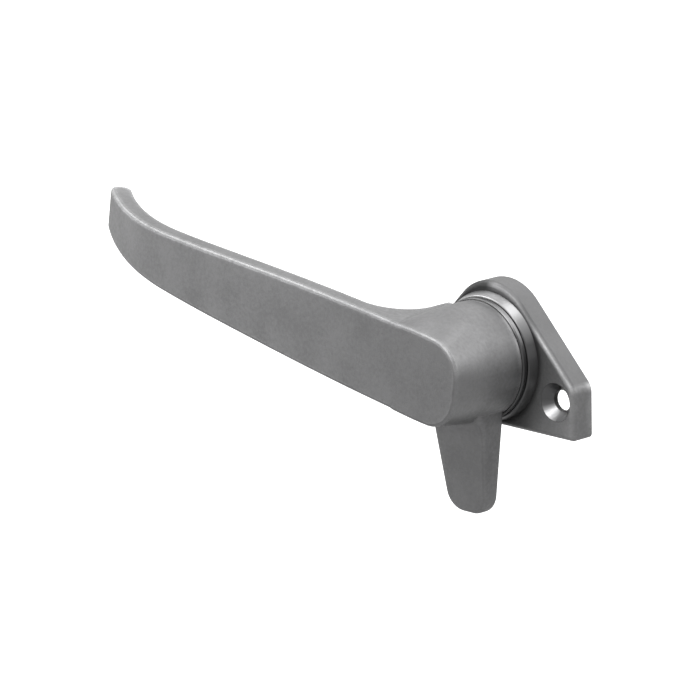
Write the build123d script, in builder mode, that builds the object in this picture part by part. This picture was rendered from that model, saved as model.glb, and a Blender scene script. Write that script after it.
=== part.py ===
from build123d import *
import os
from math import cos, radians, sin

os.makedirs("parts", exist_ok=True)

# Casement window cam handle, in millimetres.
# The origin is on the spindle axis, in the face that meets the window frame.
# +Z is up, +X runs to the right, and -Y comes off the frame towards the hand.
# The handle is in its locked place, with the lever to the left and the nose down.

# Base plate
plate_half_width = 22.2
plate_drop = 13.7
plate_thickness = 5.2
plate_top_radius = 11.0
plate_top_centre = 3.9
plate_ear_height = 10.4
plate_ear_radius = 3.0
plate_foot_radius = 1.0
plate_edge_round = 1.1
plate_rim_wall = 1.8
plate_web = 2.9
plate_core_radius = 13.2
boss_foot_radius = 13.3
boss_radius = 12.2
boss_height = 1.9
boss_edge_round = 0.4

# Fixing holes for countersunk wood screws
fixing_spacing = 34.9
fixing_drop = 6.4
fixing_hole_radius = 2.1
fixing_head_radius = 3.8
fixing_head_angle = 82.0

# Spindle and what holds it behind the plate
journal_radius = 5.0
journal_clearance = 0.05
bearing_length = 2.9
retainer_radius = 7.8
retainer_thickness = 1.2
retainer_key_width = 6.6
key_clearance = 0.05
key_setback = 0.1
counterbore_clearance = 0.6
spring_outer_radius = 7.4
spring_thickness = 0.5
spring_height = 0.9
washer_clearance = 0.15
thrust_washer_radius = 12.0
thrust_washer_thickness = 1.2
seat_clearance = 0.03
washer_edge_chamfer = 0.25

# Pivot screw in the end of the spindle
screw_radius = 2.0
screw_end_chamfer = 0.3
screw_length = 10.0
screw_head_radius = 4.4
screw_head_height = 1.7
screw_head_round = 0.5
screw_slot_width = 1.0
screw_slot_depth = 0.8
screw_hole_spare = 1.5

# Neck, from the thrust washer out to the rounded hub end of the lever's front
neck_radius = 11.6
neck_shoulder = 15.0
hub_reach = 11.1
hub_half_height = 8.75
hub_corner_radius = 6.8
lever_inset = 0.03

# Lever
lever_projection = 26.4
lever_thickness = 4.3
lever_tilt = 8.95
lever_middle = 50.0
lever_middle_half_height = 7.25
lever_curl_start = 72.0
lever_curl_radius = 44.0
lever_curl_angle = 36.0
lever_end_reach = 108.0
lever_end_top = 9.4
lever_end_bottom = 2.2
lever_end_top_slope = 0.30
lever_end_bottom_slope = 0.43
lever_tip_round = 1.6
lever_rim_round = 0.7
crook_reach = 10.0
crook_radius = 9.0
neck_blend = 2.2

# Nose, the cam that draws the window shut
nose_reach = 30.4
nose_root_width = 15.4
nose_root_depth = 7.0
nose_root_thickness = 5.5
nose_root_drop = 12.0
nose_flare = 3.6
nose_flare_radius = 8.0
nose_tip_width = 10.2
nose_tip_thickness = 3.2
nose_gap = 0.7
nose_end_round = 4.2
nose_rim_round = 0.9
nose_blend = 0.6

# Places along the spindle, measured out from the frame
boss_foot = plate_thickness - plate_edge_round
boss_face = plate_thickness + boss_height
neck_end = boss_face + thrust_washer_thickness + seat_clearance
counterbore_depth = boss_face - bearing_length
journal_end = counterbore_depth - spring_height
retainer_back = journal_end - retainer_thickness
key_end = retainer_back + key_setback
screw_face = retainer_back - screw_head_height
spring_face = counterbore_depth - seat_clearance
lever_back = lever_projection - lever_thickness
nose_back = neck_end + nose_gap
nose_root_front = nose_back + nose_root_thickness
nose_flare_front = nose_root_front + nose_flare
nose_tip_front = nose_back + nose_tip_thickness

# Radii and heights that follow from them
ear_top = plate_ear_height - plate_drop
bore_radius = journal_radius + journal_clearance
counterbore_radius = retainer_radius + counterbore_clearance
washer_hole_radius = journal_radius + washer_clearance
hub_flat = hub_reach - hub_corner_radius
lever_foot_half_height = hub_half_height - lever_inset

# The plate's front face, and the frame's face seen from behind the plate
front_face = Plane.XZ.offset(plate_thickness)
back_face = Plane(origin=(0, 0, 0), x_dir=(-1, 0, 0), z_dir=(0, 1, 0))

# The lever's own directions: along it from the spindle, across its height, and out from the frame
tilt = radians(lever_tilt)
lever_along = Vector(-cos(tilt), 0, sin(tilt))
lever_up = Vector(sin(tilt), 0, cos(tilt))
lever_plan = Plane(origin=(0, 0, 0), x_dir=lever_along, z_dir=lever_up)
lever_face = Plane(origin=(0, 0, 0), x_dir=lever_along, z_dir=(0, 1, 0))
lever_axis = Axis((0, 0, 0), lever_along)


def is_lever_rim(edge):
    """An edge round the lever's front or back, and not one that crosses it or runs back to the neck."""
    crosses = abs((edge % 0.5).dot(lever_up)) > 0.99
    runs_back = abs((edge % 0.5).Y) > 0.99
    at_neck = edge.center().Y > -neck_shoulder
    return not (crosses or runs_back or at_neck)


def is_beside_neck(edge):
    """An edge of the lever's flat top or bottom that lies between the neck's end and the lever's back."""
    middle = edge.center()
    on_lever = abs(abs(middle.dot(lever_up)) - hub_half_height) < lever_rim_round / 2
    return on_lever and middle.dot(lever_along) > hub_flat and -lever_back < middle.Y < -neck_end - lever_rim_round


# Base plate
# A flat diamond with two ears, a raised boss for the handle to turn on, and a hollow behind each ear.
with BuildPart() as base_plate:
    with BuildSketch(Plane.XZ) as plate_outline:
        with Locations((0, plate_top_centre)):
            Circle(plate_top_radius)
        with Locations((0, -plate_drop)):
            Rectangle(2 * plate_half_width, plate_ear_height, align=(Align.CENTER, Align.MIN))
        make_hull()
        fillet(plate_outline.vertices().group_by(Axis.Y)[0], radius=plate_foot_radius)
        ear_shoulders = plate_outline.vertices().filter_by_position(Axis.Y, ear_top - 0.01, ear_top + 0.01)
        fillet(ear_shoulders, radius=plate_ear_radius)
    extrude(amount=plate_thickness)
    fillet(base_plate.faces().sort_by(Axis.Y)[0].edges(), radius=plate_edge_round)

    with BuildSketch(Plane.XZ.offset(boss_foot)):
        Circle(boss_foot_radius)
    with BuildSketch(Plane.XZ.offset(boss_face)):
        Circle(boss_radius)
    loft()
    fillet(base_plate.faces().sort_by(Axis.Y)[0].edges(), radius=boss_edge_round)

    with BuildSketch(Plane.XZ):
        add(plate_outline.sketch_local)
        offset(amount=-plate_rim_wall)
        Circle(plate_core_radius, mode=Mode.SUBTRACT)
    extrude(amount=plate_thickness - plate_web, mode=Mode.SUBTRACT)

    with Locations(back_face):
        CounterBoreHole(bore_radius, counterbore_radius, counterbore_depth)
    fixing_places = [front_face * Pos(x, -fixing_drop) for x in (-fixing_spacing / 2, fixing_spacing / 2)]
    with Locations(*fixing_places):
        CounterSinkHole(fixing_hole_radius, fixing_head_radius, counter_sink_angle=fixing_head_angle)

base_plate.part.label = "base_plate"
export_step(base_plate.part, "parts/base_plate.step")


# Thrust washer
with BuildPart() as thrust_washer:
    with BuildSketch(Plane.XZ.offset(boss_face)):
        Circle(thrust_washer_radius)
        Circle(washer_hole_radius, mode=Mode.SUBTRACT)
    extrude(amount=thrust_washer_thickness)
    chamfer(thrust_washer.edges().sort_by(SortBy.LENGTH)[-2:], length=washer_edge_chamfer)

thrust_washer.part.label = "thrust_washer"
export_step(thrust_washer.part, "parts/thrust_washer.step")


# Neck of the handle casting
# It is round at the thrust washer and becomes the rounded hub end of the lever's front.
with BuildPart() as neck:
    with BuildSketch(lever_face.offset(-neck_end)):
        Circle(neck_radius)
    with BuildSketch(lever_face.offset(-neck_shoulder)):
        Circle(neck_radius)
    with BuildSketch(lever_face.offset(-lever_projection)):
        RectangleRounded(2 * hub_reach, 2 * hub_half_height, hub_corner_radius)
    loft()
    fillet(neck.faces().sort_by(Axis.Y)[0].edges(), radius=lever_rim_round)


# Nose of the handle casting
# A tapered tongue whose front swells out to the neck.
with BuildPart() as nose:
    with BuildSketch(Plane.XZ.offset(nose_back)):
        with BuildLine():
            Polyline((-nose_root_width / 2, -nose_root_depth), (-nose_tip_width / 2, -nose_reach),
                     (nose_tip_width / 2, -nose_reach), (nose_root_width / 2, -nose_root_depth), close=True)
        nose_outline = make_face()
        fillet(nose_outline.vertices().group_by(Axis.Y)[0], radius=nose_end_round)
    extrude(amount=nose_root_thickness + nose_flare)
    with BuildSketch(Plane.YZ):
        with BuildLine():
            nose_front = FilletPolyline((-nose_flare_front, -nose_root_depth), (-nose_root_front, -nose_root_drop),
                                        (-nose_tip_front, -nose_reach), radius=nose_flare_radius)
            Polyline(nose_front @ 1, (-nose_flare_front, -nose_reach), nose_front @ 0)
        make_face()
    extrude(amount=nose_root_width, both=True, mode=Mode.SUBTRACT)
    nose_top = nose.faces().sort_by(Axis.Z)[-1]
    fillet((nose.edges() - nose_top.edges()).filter_by(lambda e: abs((e % 0.5).Y) < 0.9), radius=nose_rim_round)


# Handle casting
# Seen from above, the lever is a band that curls to the frame, and its foot crooks back to the neck.
# That plan is trimmed to the lever's outline seen from the front.
with BuildPart() as cam_handle:
    with BuildSketch(lever_plan):
        with BuildLine():
            front = Line((0, lever_projection), (lever_curl_start, lever_projection))
            JernArc(front @ 1, front % 1, lever_curl_radius, -lever_curl_angle)
            offset(amount=lever_thickness, side=Side.RIGHT)
        make_face()
        with BuildLine():
            back = Line((0, lever_back), (crook_reach + crook_radius, lever_back))
            crook = JernArc(back @ 1, (-1, 0), crook_radius, 90)
            Polyline(crook @ 1, (crook_reach, neck_end), (0, neck_end), back @ 0)
        make_face()
    extrude(amount=neck_radius + lever_end_top, both=True)
    with BuildSketch(lever_face):
        with BuildLine():
            top = Spline((0, lever_foot_half_height), (lever_middle, lever_middle_half_height),
                         (lever_end_reach, lever_end_top), tangents=((1, 0), (1, lever_end_top_slope)))
            bottom = Spline((0, -lever_foot_half_height), (lever_middle, -lever_middle_half_height),
                            (lever_end_reach, lever_end_bottom), tangents=((1, 0), (1, lever_end_bottom_slope)))
            Line(top @ 1, bottom @ 1)
            Line(bottom @ 0, top @ 0)
        make_face()
    extrude(amount=-2 * lever_projection, mode=Mode.INTERSECT)
    tip_end = cam_handle.faces().sort_by(lever_axis)[-1]
    tip_edges = tip_end.edges().filter_by(lambda e: abs((e % 0.5).dot(lever_up)) > 0.9)
    fillet(tip_edges, radius=lever_tip_round)
    fillet(cam_handle.edges().filter_by(is_lever_rim), radius=lever_rim_round)
    add(neck.part)
    fillet(cam_handle.edges().filter_by(is_beside_neck).sort_by(lever_axis)[:2], radius=neck_blend)
    add(nose.part)
    nose_seam = cam_handle.edges(Select.NEW).filter_by(lambda e: e.center().Y < -nose_root_front)
    fillet(nose_seam, radius=nose_blend)

    with BuildSketch(Plane.XZ.offset(journal_end)):
        Circle(journal_radius)
    extrude(amount=neck_end - journal_end)
    with BuildSketch(Plane.XZ.offset(key_end)):
        Circle(journal_radius)
        Rectangle(retainer_key_width, 2 * journal_radius, mode=Mode.INTERSECT)
    extrude(amount=journal_end - key_end)
    with BuildSketch(Plane.XZ.offset(key_end)):
        Circle(screw_radius + seat_clearance)
    extrude(amount=screw_length + screw_hole_spare, mode=Mode.SUBTRACT)

cam_handle.part.label = "cam_handle"
export_step(cam_handle.part, "parts/cam_handle.step")


# Spring washer
# A dished ring: its inner edge rides on the retaining washer, its outer edge bears on the plate.
with BuildPart() as spring_washer:
    with BuildSketch(Plane.XY):
        with BuildLine():
            Polyline((washer_hole_radius, -journal_end),
                     (washer_hole_radius, -journal_end - spring_thickness),
                     (spring_outer_radius, -spring_face),
                     (spring_outer_radius, -spring_face + spring_thickness),
                     close=True)
        make_face()
    revolve(axis=Axis.Y)

spring_washer.part.label = "spring_washer"
export_step(spring_washer.part, "parts/spring_washer.step")


# Retaining washer, keyed to the two flats of the spindle
with BuildPart() as retaining_washer:
    with BuildSketch(Plane.XZ.offset(retainer_back)):
        Circle(retainer_radius)
    extrude(amount=retainer_thickness)
    chamfer(retaining_washer.edges(), length=washer_edge_chamfer)
    with BuildSketch(Plane.XZ.offset(retainer_back)):
        Circle(bore_radius)
        Rectangle(retainer_key_width + 2 * key_clearance, 2 * bore_radius, mode=Mode.INTERSECT)
    extrude(amount=retainer_thickness, mode=Mode.SUBTRACT)

retaining_washer.part.label = "retaining_washer"
export_step(retaining_washer.part, "parts/retaining_washer.step")


# Pivot screw with a slotted head
with BuildPart() as pivot_screw:
    with BuildSketch(Plane.XZ.offset(screw_face)):
        Circle(screw_head_radius)
    extrude(amount=screw_head_height)
    fillet(pivot_screw.faces().sort_by(Axis.Y)[-1].edges(), radius=screw_head_round)
    with BuildSketch(Plane.XZ.offset(retainer_back)):
        Circle(screw_radius)
    extrude(amount=screw_length)
    chamfer(pivot_screw.faces().sort_by(Axis.Y)[0].edges(), length=screw_end_chamfer)
    with BuildSketch(Plane.XZ.offset(screw_face)):
        Rectangle(2 * screw_head_radius, screw_slot_width)
    extrude(amount=screw_slot_depth, mode=Mode.SUBTRACT)

pivot_screw.part.label = "pivot_screw"
export_step(pivot_screw.part, "parts/pivot_screw.step")
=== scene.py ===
# %% [markdown]
# This lesson dresses a casement window cam handle, and lights it for a plain studio portrait.
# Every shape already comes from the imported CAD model, so the work here is finish, light and
# camera. All sizes are in metres. The origin is on the spindle's axis at the back of the base
# plate, and +Z is up.

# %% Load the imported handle
import bmesh
import bpy
from math import cos, radians, sin
from mathutils import Matrix, Vector

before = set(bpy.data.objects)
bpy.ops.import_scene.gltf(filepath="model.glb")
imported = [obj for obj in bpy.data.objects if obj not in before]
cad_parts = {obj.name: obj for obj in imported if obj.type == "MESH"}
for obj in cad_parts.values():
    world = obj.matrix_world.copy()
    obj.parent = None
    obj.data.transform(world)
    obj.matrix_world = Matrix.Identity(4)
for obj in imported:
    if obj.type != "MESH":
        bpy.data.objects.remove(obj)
scene = bpy.context.scene
scene.view_settings.view_transform = "Standard"
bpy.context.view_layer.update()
print("CAD nodes:", sorted(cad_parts))

# %% [markdown]
# The camera stands about a metre away, to the right of the handle and a little above it.
# A long lens from there keeps the lever's far end almost as large as its hub.
# Its directions are worked out from the two angles and a small roll, and then the whole camera
# slides sideways until the spindle falls to the right of the middle, as it does in the
# photograph.

# %% Camera
camera_azimuth = radians(45.86)
camera_elevation = radians(14.23)
camera_roll = radians(-1.05)
camera_distance = 1.1
camera_slide_across = -0.0311
camera_slide_up = 0.00013
camera_lens = 288.9

back = Vector((sin(camera_azimuth) * cos(camera_elevation),
               -cos(camera_azimuth) * cos(camera_elevation),
               sin(camera_elevation)))
level_right = Vector((cos(camera_azimuth), sin(camera_azimuth), 0))
level_up = back.cross(level_right)
right = cos(camera_roll) * level_right + sin(camera_roll) * level_up
up = cos(camera_roll) * level_up - sin(camera_roll) * level_right

camera = bpy.data.objects.new("camera", bpy.data.cameras.new("camera"))
camera.data.lens = camera_lens
camera.data.clip_start = 0.05
camera.data.clip_end = 20
place = camera_distance * back + camera_slide_across * right + camera_slide_up * up
turn = Matrix((right, up, back)).transposed().to_4x4()
camera.matrix_world = Matrix.Translation(place) @ turn
scene.collection.objects.link(camera)
scene.camera = camera
print("camera at", [round(value, 3) for value in place])

# %% [markdown]
# A metal shows what it reflects, so each lamp is placed where a part of the handle looks for
# its light. The key lamp hangs high on the left: the rounded front edge of the lever reflects
# it as a bright line. A long lamp above and behind does the same for the neck, the lever's top
# and the plate's rim. A low lamp on the left is what the lever's flat front reflects, and the
# front and top lamps soften what lies between.
# The lamps are kept weak: a plain grey of 0.5 comes out at about 0.5 on the faces that look
# up, 0.4 on the lever's front and 0.3 on the shaded side of the neck.

# %% Lamps
def hang_lamp(name, towards, distance, width, height, watts):
    """A soft lamp that faces the handle, with its width held level."""
    lamp = bpy.data.lights.new(name, "AREA")
    lamp.shape = "RECTANGLE"
    lamp.size = width
    lamp.size_y = height
    lamp.energy = watts
    holder = bpy.data.objects.new(name, lamp)
    holder.location = Vector(towards).normalized() * distance
    holder.rotation_mode = "QUATERNION"
    holder.rotation_quaternion = (-holder.location).to_track_quat("-Z", "Y")
    scene.collection.objects.link(holder)
    print(name, "hangs at", [round(value, 2) for value in holder.location])


hang_lamp("key_lamp", towards=(-0.62, -0.15, 0.75), distance=0.9,
          width=0.6, height=0.6, watts=4.0)
hang_lamp("front_lamp", towards=(0.12, -0.7, 0.65), distance=0.9,
          width=0.5, height=0.4, watts=2.5)
hang_lamp("top_lamp", towards=(0.15, 0.05, 1.0), distance=0.9,
          width=0.9, height=0.35, watts=2.4)
hang_lamp("long_lamp", towards=(0.08, 0.72, 0.5), distance=1.0,
          width=1.8, height=0.6, watts=4.5)
hang_lamp("side_lamp", towards=(-0.95, -0.6, 0.1), distance=1.1,
          width=2.0, height=0.35, watts=4.5)

# %% [markdown]
# Materials are built from nodes, and a few small helpers keep that short to read.
# Feed is the one used most: it links a socket to another node's value, or sets a plain one.

# %% Helpers for nodes
def new_node(tree, kind, **settings):
    """A new node in a tree, with its own settings."""
    node = tree.nodes.new(kind)
    for setting, value in settings.items():
        setattr(node, setting, value)
    return node


def feed(tree, value, socket):
    """A socket linked to another node's value, or set to a plain one."""
    if isinstance(value, bpy.types.NodeSocket):
        tree.links.new(value, socket)
    else:
        socket.default_value = value


def calculate(tree, operation, *values):
    """The result of a Math node."""
    node = new_node(tree, "ShaderNodeMath", operation=operation)
    for value, socket in zip(values, node.inputs):
        feed(tree, value, socket)
    return node.outputs[0]


def mix_shaders(tree, share, first, second):
    """Two shaders mixed, with the second one's share."""
    mix = new_node(tree, "ShaderNodeMixShader")
    for source, socket in zip((share, first, second), mix.inputs):
        tree.links.new(source, socket)
    return mix.outputs[0]


print("helpers for nodes are ready")

# %% [markdown]
# The surroundings are white, as in the photograph.
# Light Path tells the world which rays only look: those of the camera and of reflections see
# plain white. The rays that light a matt surface, which here is only the floor, get a weaker
# white, and the lamps do the rest.

# %% White surroundings
sky_light = 0.1
sky_white = 1.0


def looking_rays(tree, direct, mirrored):
    """A value for the rays that only look.

    It is direct for the camera's rays, and mirrored for those seen in metal or glass.
    """
    path = new_node(tree, "ShaderNodeLightPath")
    glances = calculate(tree, "MAXIMUM", path.outputs["Is Glossy Ray"],
                        path.outputs["Is Transmission Ray"])
    shares = calculate(tree, "MULTIPLY", glances, mirrored)
    return calculate(tree, "MULTIPLY_ADD", path.outputs["Is Camera Ray"], direct, shares)


def white_sky(tree, strength):
    """A plain white background of a strength."""
    background = new_node(tree, "ShaderNodeBackground")
    background.inputs["Color"].default_value = (1, 1, 1, 1)
    background.inputs["Strength"].default_value = strength
    return background.outputs[0]


world = bpy.data.worlds.new("white_surroundings")
world.use_nodes = True
scene.world = world
sky = world.node_tree
sky.nodes.clear()
sky_out = new_node(sky, "ShaderNodeOutputWorld")
sky_mix = mix_shaders(sky, looking_rays(sky, direct=1.0, mirrored=1.0),
                      white_sky(sky, sky_light), white_sky(sky, sky_white))
sky.links.new(sky_mix, sky_out.inputs["Surface"])
print("world:", world.name)

# %% [markdown]
# The floor is a plain white sheet well below the handle, which hangs free as it would on a
# window frame. For the camera's rays the paint also gives off white light, which lifts it to
# full white and hides the shadow on it, as in the photograph, and adds no light to the handle.
# In reflections it is only its lit paint, so the faces of the metal that look down stay
# darker than those that look up.
# Seen from below it is clear, so that the underside can be looked at.

# %% Floor
floor_drop = 0.115
floor_side = 4.0
floor_grey = 0.72

floor_shape = bmesh.new()
bmesh.ops.create_grid(floor_shape, x_segments=1, y_segments=1, size=floor_side / 2)
bmesh.ops.translate(floor_shape, verts=floor_shape.verts, vec=(0, 0, -floor_drop))
floor_mesh = bpy.data.meshes.new("floor")
floor_shape.to_mesh(floor_mesh)
floor_shape.free()
floor = bpy.data.objects.new("floor", floor_mesh)
scene.collection.objects.link(floor)

floor_paint = bpy.data.materials.new("white_floor")
floor_paint.use_nodes = True
paint = floor_paint.node_tree
paint.nodes.clear()
matt = new_node(paint, "ShaderNodeBsdfDiffuse")
matt.inputs["Color"].default_value = (floor_grey, floor_grey, floor_grey, 1)
lift = new_node(paint, "ShaderNodeEmission")
lift.inputs["Color"].default_value = (1, 1, 1, 1)
feed(paint, looking_rays(paint, direct=1.0, mirrored=0.0), lift.inputs["Strength"])
lifted = new_node(paint, "ShaderNodeAddShader")
paint.links.new(matt.outputs[0], lifted.inputs[0])
paint.links.new(lift.outputs[0], lifted.inputs[1])
clear_back = new_node(paint, "ShaderNodeBsdfTransparent")
side = new_node(paint, "ShaderNodeNewGeometry")
one_sided = mix_shaders(paint, side.outputs["Backfacing"],
                        lifted.outputs[0], clear_back.outputs[0])
paint_out = new_node(paint, "ShaderNodeOutputMaterial")
paint.links.new(one_sided, paint_out.inputs["Surface"])
floor.data.materials.append(floor_paint)
print("floor at", -floor_drop)

# %% [markdown]
# Handle and plate are cast metal with a satin finish. Close to, such a casting is never one
# flat grey: the mould leaves a fine sandy grain, and the tumbling that smooths it leaves soft
# cloudy patches.
# Both castings need that skin, so it is one node group, with the grain's size as an input.
# It puts out a tone for colour and roughness, and a height for the bump.

# %% The skin of the castings
cloud_scale = 110.0
grain_share = 0.45


def new_group(name, inputs, outputs):
    """An empty node group with named value inputs and outputs, and its two end nodes."""
    group = bpy.data.node_groups.new(name, "ShaderNodeTree")
    for title, value in inputs.items():
        socket = group.interface.new_socket(
            title, in_out="INPUT", socket_type="NodeSocketFloat")
        socket.default_value = value
    for title in outputs:
        group.interface.new_socket(title, in_out="OUTPUT", socket_type="NodeSocketFloat")
    return group, new_node(group, "NodeGroupInput"), new_node(group, "NodeGroupOutput")


def noise(tree, scale, detail, roughness):
    """A noise that reads the object's own coordinates."""
    where = new_node(tree, "ShaderNodeTexCoord")
    pattern = new_node(tree, "ShaderNodeTexNoise")
    pattern.inputs["Detail"].default_value = detail
    pattern.inputs["Roughness"].default_value = roughness
    feed(tree, scale, pattern.inputs["Scale"])
    tree.links.new(where.outputs["Object"], pattern.inputs["Vector"])
    return pattern.outputs["Fac"]


def blend_values(tree, first, second, share):
    """Two values mixed, with the second one's share."""
    mix = new_node(tree, "ShaderNodeMix", data_type="FLOAT")
    feed(tree, share, mix.inputs["Factor"])
    feed(tree, first, mix.inputs[2])
    feed(tree, second, mix.inputs[3])
    return mix.outputs[0]


cast_skin, skin_in, skin_out = new_group(
    "cast_skin", {"Grain Scale": 1300.0}, ("Tone", "Height"))
grain = noise(cast_skin, skin_in.outputs["Grain Scale"], detail=3.0, roughness=0.6)
clouds = noise(cast_skin, cloud_scale, detail=2.0, roughness=0.5)
feed(cast_skin, blend_values(cast_skin, clouds, grain, grain_share), skin_out.inputs["Tone"])
feed(cast_skin, grain, skin_out.inputs["Height"])
print("group:", cast_skin.name)

# %% [markdown]
# Edges are brighter than faces: partly from real wear by hands and window frames, and partly as
# a painted highlight along the rounded rims.
# An Ambient Occlusion node that looks inwards finds the edges: just behind a flat face there is
# only metal, but behind an edge the other face is near. A noise breaks the line up, because
# real wear isn't even, and edges that look down get little of it, because the painted highlight
# follows the light from above.

# %% Worn edges and painted highlight
wear_noise_scale = 420.0
least_patch = 0.35
least_below = 0.2


def ramp(tree, value, low, high, to_low=0.0, to_high=1.0, kind="LINEAR"):
    """A value stretched from one range to another, and held at its ends."""
    stretch = new_node(tree, "ShaderNodeMapRange", interpolation_type=kind)
    stretch.inputs["From Min"].default_value = low
    stretch.inputs["From Max"].default_value = high
    stretch.inputs["To Min"].default_value = to_low
    stretch.inputs["To Max"].default_value = to_high
    tree.links.new(value, stretch.inputs["Value"])
    return stretch.outputs["Result"]


def openness(tree, distance, inside):
    """How free of faces the space near a point is, inside its metal or outside."""
    space = new_node(tree, "ShaderNodeAmbientOcclusion",
                     inside=inside, only_local=inside, samples=8)
    tree.links.new(distance, space.inputs["Distance"])
    return space.outputs["AO"]


def own_axis(tree, kind, axis):
    """X, Y or Z of a point (Object) or of the way its surface turns (Normal)."""
    where = new_node(tree, "ShaderNodeTexCoord")
    split = new_node(tree, "ShaderNodeSeparateXYZ")
    tree.links.new(where.outputs[kind], split.inputs[0])
    return split.outputs[axis]


def both(tree, first, second):
    """The product of two masks."""
    return calculate(tree, "MULTIPLY", first, second)


# The bright edge mask is partly wear and partly a painted highlight on the rims.
worn_and_highlit_edges, worn_in, worn_out = new_group("worn_and_highlit_edges", {"Width": 0.0012}, ("Mask",))
edge = ramp(worn_and_highlit_edges, openness(worn_and_highlit_edges, worn_in.outputs["Width"], inside=True),
            low=0.85, high=0.4, kind="SMOOTHSTEP")
patchy = ramp(worn_and_highlit_edges, noise(worn_and_highlit_edges, wear_noise_scale, detail=3.0, roughness=0.6),
              low=0.35, high=0.6, to_low=least_patch)
upward_edges = ramp(worn_and_highlit_edges, own_axis(worn_and_highlit_edges, "Normal", "Z"),
               low=-0.1, high=0.4, to_low=least_below)
worn_and_highlit_edge = both(worn_and_highlit_edges, edge, patchy)
feed(worn_and_highlit_edges, both(worn_and_highlit_edges, worn_and_highlit_edge, upward_edges), worn_out.inputs["Mask"])
print("group:", worn_and_highlit_edges.name)

# %% [markdown]
# Recesses get painted shade: a darker grey where shade would fall. The same node finds them
# when it looks outwards, wherever another surface stands close in front.

# %% Painted shade in recesses
painted_recess_shade, shade_in, shade_out = new_group("painted_recess_shade", {"Reach": 0.008}, ("Mask",))
# Painted shade: the mask is 1 where other surfaces stand close in front.
recess_shade_mask = ramp(painted_recess_shade, openness(painted_recess_shade, shade_in.outputs["Reach"], inside=False),
              low=0.95, high=0.3, kind="SMOOTHSTEP")
feed(painted_recess_shade, recess_shade_mask, shade_out.inputs["Mask"])
print("group:", painted_recess_shade.name)

# %% [markdown]
# A metal's colour is a grey here, and its finish is a matter of which grey lies where.
# So one small helper mixes two greys by a mask. Either of them may be a plain level, or the
# colour that an earlier mix gave, and that is how the finishes below lie over each other.

# %% Greys
def grey(level):
    """A neutral grey, a touch cool, as cast zinc is."""
    return (level, level, level * 1.01, 1)


def mix_greys(tree, mask, under, over):
    """A colour that goes from one grey to another with a mask."""
    mix = new_node(tree, "ShaderNodeMix", data_type="RGBA")
    tree.links.new(mask, mix.inputs["Factor"])
    for colour, socket in ((under, mix.inputs[6]), (over, mix.inputs[7])):
        feed(tree, grey(colour) if isinstance(colour, float) else colour, socket)
    return mix.outputs[2]


print("a middle grey:", grey(0.5))

# %% [markdown]
# Every piece is bare metal. Fully metallic, it takes its light from what it reflects.
# The grain is too fine to be modelled, so a Bump node gives the light its relief.

# %% Bare metal
def metal(name):
    """A fully metallic material, its shader and its node tree."""
    material = bpy.data.materials.new(name)
    material.use_nodes = True
    shader = material.node_tree.nodes["Principled BSDF"]
    shader.inputs["Metallic"].default_value = 1.0
    return material, shader, material.node_tree


def use_group(tree, group, **values):
    """A node group placed in a material, with its own values."""
    node = new_node(tree, "ShaderNodeGroup", node_tree=group)
    for title, value in values.items():
        node.inputs[title.replace("_", " ")].default_value = value
    return node


def bump(tree, height, depth, shader):
    """Fine relief, with its depth in metres."""
    relief = new_node(tree, "ShaderNodeBump")
    relief.inputs["Distance"].default_value = depth
    relief.inputs["Strength"].default_value = 1.0
    tree.links.new(height, relief.inputs["Height"])
    tree.links.new(relief.outputs["Normal"], shader.inputs["Normal"])


print("helpers for bare metal are ready")

# %% [markdown]
# One function makes both castings, each with its own four greys: a dull one and a clear one by
# the skin's tone, a dark one that is painted shade in the recesses, and a bright one on the
# edges, which is partly wear and partly a painted highlight.
# The plate's faces are a little brighter, and its bright edges less so, because hands hold the
# handle and not the plate.
# The roughness follows the same tone as the colour, so a clear patch is also a smoother one.

# %% Cast satin metal
tone_low, tone_high = 0.38, 0.62
rough_patches, smooth_patches = 0.54, 0.44
recess_shade_reach = 0.008
wear_width = 0.0020
grain_depth = 0.00003


def cast_metal(name, recess_shade_grey, dull, clear, bright, grain_scale):
    """Satin cast metal with a grain, painted shade in its recesses, and edges that are partly
    worn and partly carry a painted highlight.
    """
    material, shader, tree = metal(name)
    skin = use_group(tree, cast_skin, Grain_Scale=grain_scale)
    recess_shade = use_group(tree, painted_recess_shade, Reach=recess_shade_reach)
    worn_and_highlit = use_group(tree, worn_and_highlit_edges, Width=wear_width)
    tone = ramp(tree, skin.outputs["Tone"], tone_low, tone_high)
    body = mix_greys(tree, tone, dull, clear)
    # Painted shade: the dark grey goes into the recesses.
    shaded_body = mix_greys(tree, recess_shade.outputs["Mask"], body, recess_shade_grey)
    # Edges get the bright grey: partly wear, partly a painted highlight.
    feed(tree, mix_greys(tree, worn_and_highlit.outputs["Mask"], shaded_body, bright),
         shader.inputs["Base Color"])
    feed(tree, ramp(tree, skin.outputs["Tone"], tone_low, tone_high,
                    rough_patches, smooth_patches), shader.inputs["Roughness"])
    bump(tree, skin.outputs["Height"], grain_depth, shader)
    return material


handle_metal = cast_metal("cast_handle_metal", recess_shade_grey=0.09, dull=0.18, clear=0.22,
                          bright=0.8, grain_scale=1300.0)
plate_metal = cast_metal("cast_plate_metal", recess_shade_grey=0.17, dull=0.22, clear=0.265,
                         bright=0.5, grain_scale=1500.0)
print("materials:", handle_metal.name, plate_metal.name)

# %% [markdown]
# Some finishes belong to one place, and a mask finds it.
# Near an axis that runs along Y a mask is round and sharp, and along X, Y or Z it fades from
# one side to the other. Facing reads which way the surface turns. All of them read the object's
# own coordinates, so the finish stays on its place when the handle turns.

# %% Masks for places
mask_edge = 0.0001


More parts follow.
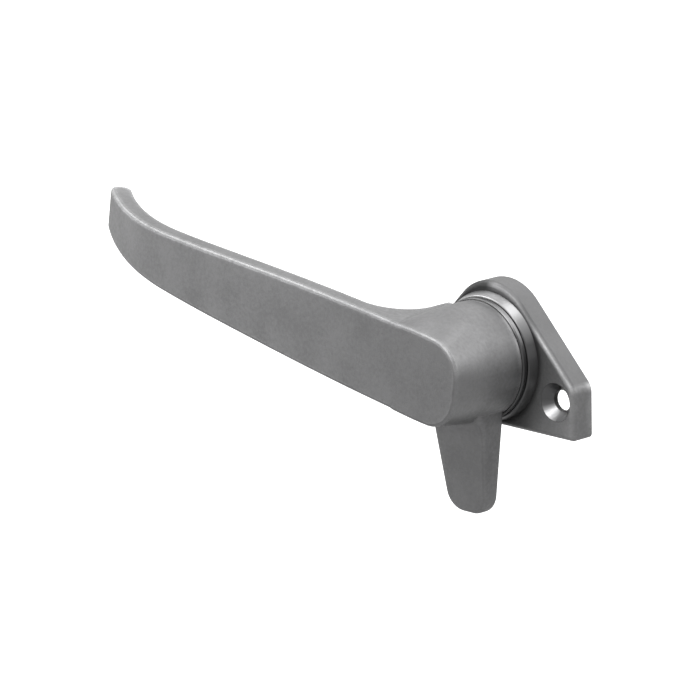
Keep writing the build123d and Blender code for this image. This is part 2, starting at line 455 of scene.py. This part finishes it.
def near_axis(tree, across, up, radius, soft=mask_edge):
    """A mask that is 1 within a radius of an axis along Y, and of its mirror image."""
    flat = new_node(tree, "ShaderNodeCombineXYZ")
    feed(tree, calculate(tree, "ABSOLUTE", own_axis(tree, "Object", "X")), flat.inputs["X"])
    feed(tree, own_axis(tree, "Object", "Z"), flat.inputs["Z"])
    reach = new_node(tree, "ShaderNodeVectorMath", operation="DISTANCE")
    reach.inputs[1].default_value = (across, 0, up)
    tree.links.new(flat.outputs[0], reach.inputs[0])
    return ramp(tree, reach.outputs["Value"], radius, radius + soft, to_low=1.0, to_high=0.0)


def along(tree, axis, start, end, share=1.0):
    """A mask that grows from a start to an end along X, Y or Z, up to a share."""
    return ramp(tree, own_axis(tree, "Object", axis), start, end, to_high=share)


def in_front_of(tree, depth):
    """A mask that is 1 where a point lies further out from the frame than a depth."""
    return along(tree, "Y", -depth, -depth - mask_edge)


def facing(tree, axis, start, end):
    """A mask that grows where the surface turns towards X, Y or Z."""
    return ramp(tree, own_axis(tree, "Normal", axis), start, end)


print("masks sharp to", 1000 * mask_edge, "mm")

# %% [markdown]
# Painted shade and painted highlights lie on top of a metal that is already there. So the
# material is asked what feeds its colour at present, and a mix with the new grey takes that
# place.

# %% Laying a grey over another
def fed_by(material, title):
    """What feeds a socket of a material's shader at present, and that socket."""
    socket = material.node_tree.nodes["Principled BSDF"].inputs[title]
    return socket.links[0].from_socket, socket


def lay_over(material, mask, colour):
    """A grey laid over a material's present colour, where the mask is."""
    tree = material.node_tree
    present, socket = fed_by(material, "Base Color")
    tree.links.new(mix_greys(tree, mask, present, colour), socket)


for casting in (plate_metal, handle_metal):
    print(casting.name, "has its colour from a", fed_by(casting, "Base Color")[0].node.type)

# %% [markdown]
# Painted shade darkens three places on the plate: the slanted tops of its shoulders, a ring
# round the foot of the boss, and the left shoulder behind the neck.

# %% Painted shade on the plate
plate_tree = plate_metal.node_tree
plate_face = 0.0042
foot_radius, foot_fade = 0.0129, 0.0012
shoulder_radius, shoulder_fade = 0.0146, 0.0006
top_shade_grey, boss_foot_shade_grey, shoulder_shade_grey = 0.155, 0.07, 0.055

# Painted shade: the plate's faces that look up get a darker grey.
lay_over(plate_metal, facing(plate_tree, "Z", 0.5, 0.68), top_shade_grey)

# Painted shade in a ring round the foot of the boss.
boss_foot_shade = both(plate_tree, near_axis(plate_tree, 0, 0, foot_radius, soft=foot_fade),
            in_front_of(plate_tree, plate_face))
lay_over(plate_metal, boss_foot_shade, boss_foot_shade_grey)

# Painted shade on the left shoulder, behind the neck.
left_side = along(plate_tree, "X", 0.001, -0.001)
shoulder = both(plate_tree, near_axis(plate_tree, 0, 0, shoulder_radius, soft=shoulder_fade),
                left_side)
shoulder_shade = both(plate_tree, shoulder, in_front_of(plate_tree, plate_face))
lay_over(plate_metal, shoulder_shade, shoulder_shade_grey)
# All three places carry painted shade.
print("dust and grease: the tops, the boss's foot and the left shoulder")

# %% [markdown]
# The plate is cast, but two places on it are cut afterwards: the boss that the handle turns
# on, and the countersinks of the fixing holes. Cut metal is also smoother than cast metal.
# Their colour is painted light and shade: a painted highlight where they look up, the boss at
# its top and the countersinks at their lower sides, and painted shade on the rest. The bores
# below them get a painted shadow.

# %% Cut places on the plate, with painted highlights and shade
boss_radius, boss_depth = 0.01285, 0.0051
hole_across, hole_up = 0.01745, -0.0064
sink_radius, sink_depth = 0.0038, 0.0031
bore_radius = 0.0021
boss_shade_grey, boss_highlight_grey = 0.085, 0.33
sink_shade_grey, sink_highlight_grey = 0.11, 0.5
bore_shadow_grey = 0.03
cut_roughness = 0.34

boss = both(plate_tree, near_axis(plate_tree, 0, 0, boss_radius),
            in_front_of(plate_tree, boss_depth))
# Painted highlight where the boss looks up, painted shade below.
boss_lit_and_shaded = mix_greys(plate_tree, facing(plate_tree, "Z", 0.32, 0.7),
                      boss_shade_grey, boss_highlight_grey)
lay_over(plate_metal, boss, boss_lit_and_shaded)

sinks = both(plate_tree, near_axis(plate_tree, hole_across, hole_up, sink_radius),
             in_front_of(plate_tree, sink_depth))
# Painted highlight on the countersinks' lower sides, painted shade on the rest.
sink_lit_and_shaded = mix_greys(plate_tree, facing(plate_tree, "Z", 0.25, 0.6),
                      sink_shade_grey, sink_highlight_grey)
lay_over(plate_metal, sinks, sink_lit_and_shaded)
# Painted shadow in the bores.
lay_over(plate_metal, near_axis(plate_tree, hole_across, hole_up, bore_radius), bore_shadow_grey)

cut = calculate(plate_tree, "MAXIMUM", boss, sinks)
cast_roughness, roughness_socket = fed_by(plate_metal, "Roughness")
feed(plate_tree, blend_values(plate_tree, cast_roughness, cut_roughness, cut),
     roughness_socket)
# The two cut places carry painted highlights and shade.
print("freshly cut: the boss and two countersinks")

# %% [markdown]
# Painted light and shade on the handle: painted shade darkens the hub's front and the nose a
# little against the lever, painted highlights brighten the top of its curled end and the outer
# side of the hub, and painted shade darkens the upper side of the neck beside the plate.
# Each mask is the product of two: how far along the handle a point is, and which way its
# surface turns.

# %% Painted light and shade on the handle
handle_tree = handle_metal.node_tree
painted_shade_grey, painted_highlight_grey = 0.13, 0.3

# Painted shade on the hub's front and the nose.
hub_front_shade = both(handle_tree, along(handle_tree, "X", -0.04, 0.012, share=0.5),
                  facing(handle_tree, "Y", -0.75, -0.97))
lay_over(handle_metal, hub_front_shade, painted_shade_grey)

# Painted highlight on the top of the curled end.
curl_top_highlight = both(handle_tree, along(handle_tree, "X", -0.08, -0.105, share=0.7),
                  facing(handle_tree, "Z", 0.3, 0.7))
lay_over(handle_metal, curl_top_highlight, painted_highlight_grey)

# Painted highlight on the outer side of the hub.
hub_side_highlight = both(handle_tree, along(handle_tree, "Y", -0.015, -0.020, share=0.35),
                   facing(handle_tree, "X", 0.6, 0.9))
lay_over(handle_metal, hub_side_highlight, painted_highlight_grey)

# Painted shade on the neck's upper side beside the plate.
neck_top_shade = both(handle_tree, along(handle_tree, "Y", -0.0165, -0.0105, share=0.5),
                 facing(handle_tree, "Z", 0.0, 0.35))
lay_over(handle_metal, neck_top_shade, painted_shade_grey)
# The handle's masks are painted highlights and shade.
print("polished by hands:", handle_metal.name)

# %% [markdown]
# Washers and the screw head are turned or pressed from bright steel.
# A lathe leaves fine circles round the spindle's axis, so the rings of a Wave texture give
# their bump, with its axis along Y, and the same waves make the roughness change a little from
# ring to ring.

# %% Turned steel
ring_wobble = 1.5
ring_detail = 2.0
ring_depth = 0.000006
rough_marks, smooth_marks = 0.42, 0.3
steel_grain_scale = 900.0
steel_grain_share = 0.5
crevice_shade_reach = 0.0012
crevice_shade_grey = 0.04


def turned_steel(name, dull, bright, ring_scale):
    """Bright steel with fine turning marks round the spindle, and painted shade in its slots.
    """
    material, shader, tree = metal(name)
    where = new_node(tree, "ShaderNodeTexCoord")
    rings = new_node(tree, "ShaderNodeTexWave", wave_type="RINGS", rings_direction="Y")
    rings.inputs["Scale"].default_value = ring_scale
    rings.inputs["Distortion"].default_value = ring_wobble
    rings.inputs["Detail"].default_value = ring_detail
    tree.links.new(where.outputs["Object"], rings.inputs["Vector"])
    skin = use_group(tree, cast_skin, Grain_Scale=steel_grain_scale)
    mark = blend_values(tree, rings.outputs["Fac"], skin.outputs["Tone"], steel_grain_share)
    # Painted shade in the narrow slots close to other parts.
    crevice_shade = use_group(tree, painted_recess_shade, Reach=crevice_shade_reach)
    steel = mix_greys(tree, mark, dull, bright)
    feed(tree, mix_greys(tree, crevice_shade.outputs["Mask"], steel, crevice_shade_grey),
         shader.inputs["Base Color"])
    feed(tree, ramp(tree, mark, low=0.2, high=0.8, to_low=rough_marks, to_high=smooth_marks),
         shader.inputs["Roughness"])
    bump(tree, rings.outputs["Fac"], ring_depth, shader)
    return material


washer_steel = turned_steel("turned_washer_steel", dull=0.17, bright=0.25, ring_scale=1600.0)
screw_steel = turned_steel("turned_screw_steel", dull=0.40, bright=0.58, ring_scale=2200.0)
print("materials:", washer_steel.name, screw_steel.name)

# %% [markdown]
# The thrust washer is the ring that shows between the plate and the neck. Its colour is
# painted light and shade: the turned steel shows only where the ring looks up and to the right,
# as a painted highlight, and a dark painted shade lies everywhere else.

# %% The thrust washer's steel, with painted light and shade
ring_shade_grey = 0.08

thrust_steel = turned_steel("turned_thrust_steel", dull=0.26, bright=0.34, ring_scale=1600.0)
thrust_tree = thrust_steel.node_tree
# Painted highlight where the ring looks up and to the right; painted shade elsewhere.
ring_highlight_part = both(thrust_tree, facing(thrust_tree, "Z", 0.35, 0.7),
                   facing(thrust_tree, "X", 0.1, 0.4))
turned_grey, colour_socket = fed_by(thrust_steel, "Base Color")
feed(thrust_tree, mix_greys(thrust_tree, ring_highlight_part, ring_shade_grey, turned_grey),
     colour_socket)
print("material:", thrust_steel.name)

# %% [markdown]
# A CAD node keeps its own mesh, and only its material slot changes.

# %% Dress the CAD nodes
finishes = {
    "cam_handle": handle_metal,
    "base_plate": plate_metal,
    "thrust_washer": thrust_steel,
    "retaining_washer": washer_steel,
    "spring_washer": washer_steel,
    "pivot_screw": screw_steel,
}
for node_name, finish in finishes.items():
    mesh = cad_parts[node_name].data
    mesh.materials.clear()
    mesh.materials.append(finish)
    print(node_name, "has", len(mesh.polygons), "faces in", finish.name)
